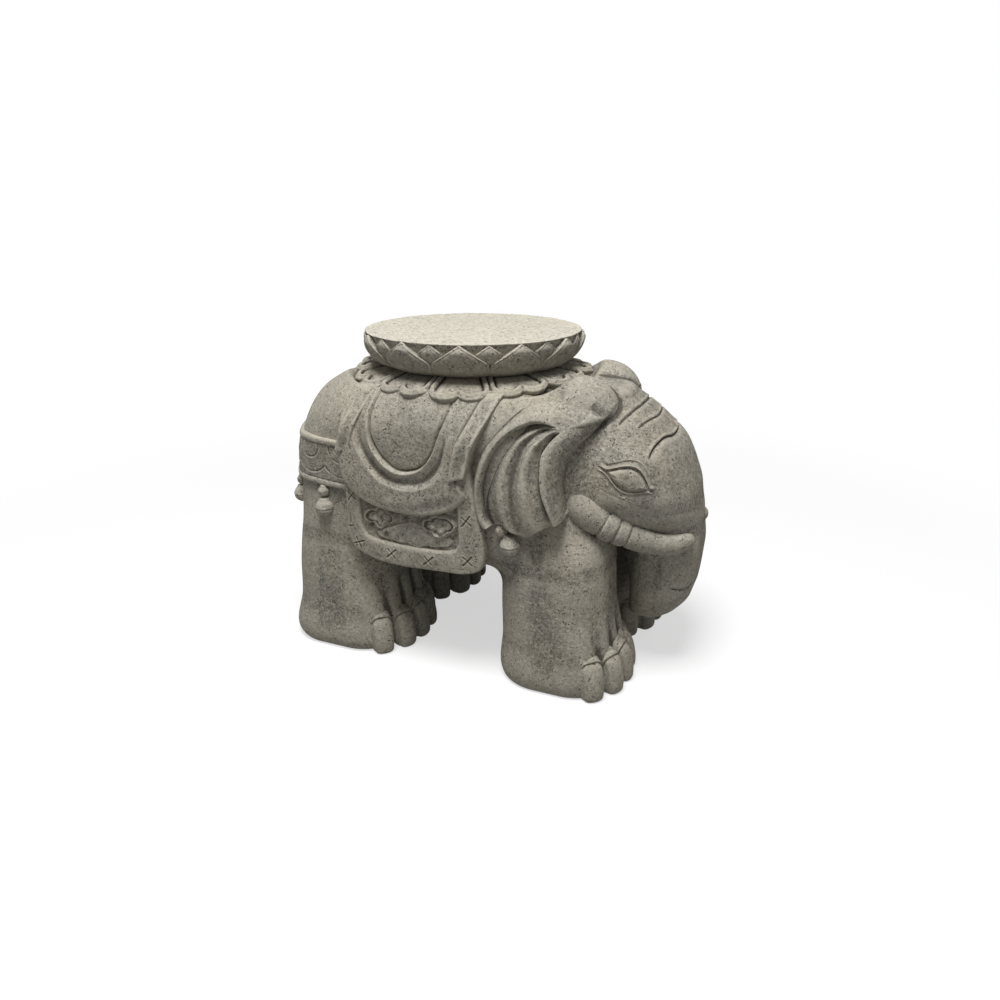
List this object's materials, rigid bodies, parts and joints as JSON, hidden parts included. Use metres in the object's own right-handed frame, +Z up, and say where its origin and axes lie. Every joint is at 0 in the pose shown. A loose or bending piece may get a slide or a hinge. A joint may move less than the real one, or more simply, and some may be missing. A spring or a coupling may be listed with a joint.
{
  "type": "carved elephant stool",
  "caption": "Carved stone stool: a standing elephant in a saddle cloth, with curved tusks and lowered trunk, carries a round lotus seat on its back.",
  "frame": {"origin": "on the ground, under the middle of the whole stool", "axes": "+X from tail to trunk, +Y to the elephant's left, +Z up"},
  "size_m": [0.591, 0.3806, 0.45],
  "materials": {
    "body_stone": "matte weathered grey-beige stone",
    "cloth_stone": "matte weathered grey-beige stone, finer tooled",
    "seat_stone": "matte weathered stone, rubbed paler on top",
    "dowel_steel": "plain drawn steel rod"
  },
  "bodies": {
    "root": {"crupper_band": "cloth_stone", "front_left_leg": "body_stone", "front_left_toes": "body_stone", "front_right_leg": "body_stone", "front_right_toes": "body_stone", "head": "body_stone", "head_dowels": "dowel_steel", "large_petals": "seat_stone", "left_cloth_border": "cloth_stone", "left_cloth_field": "cloth_stone", "left_cloud_relief": "cloth_stone", "left_crupper_bells": "cloth_stone", "left_ear": "body_stone", "left_eye": "body_stone", "left_front_ribbon": "cloth_stone", "left_rear_ribbon": "cloth_stone", "left_seat_cloth": "cloth_stone", "left_shoulder_bells": "cloth_stone", "left_swag": "cloth_stone", "left_tusk": "body_stone", "left_tusk_ring": "body_stone", "leg_dowels": "dowel_steel", "lobed_skirt": "seat_stone", "lotus_seat": "seat_stone", "rear_left_leg": "body_stone", "rear_left_toes": "body_stone", "rear_right_leg": "body_stone", "rear_right_toes": "body_stone", "right_cloth_border": "cloth_stone", "right_cloth_field": "cloth_stone", "right_cloud_relief": "cloth_stone", "right_crupper_bells": "cloth_stone", "right_ear": "body_stone", "right_eye": "body_stone", "right_front_ribbon": "cloth_stone", "right_rear_ribbon": "cloth_stone", "right_seat_cloth": "cloth_stone", "right_shoulder_bells": "cloth_stone", "right_swag": "cloth_stone", "right_tusk": "body_stone", "right_tusk_ring": "body_stone", "seat_dowel": "dowel_steel", "small_petals": "seat_stone", "tail": "body_stone", "torso": "body_stone", "trunk": "body_stone", "trunk_dowel": "dowel_steel"}
  },
  "joints": []
}
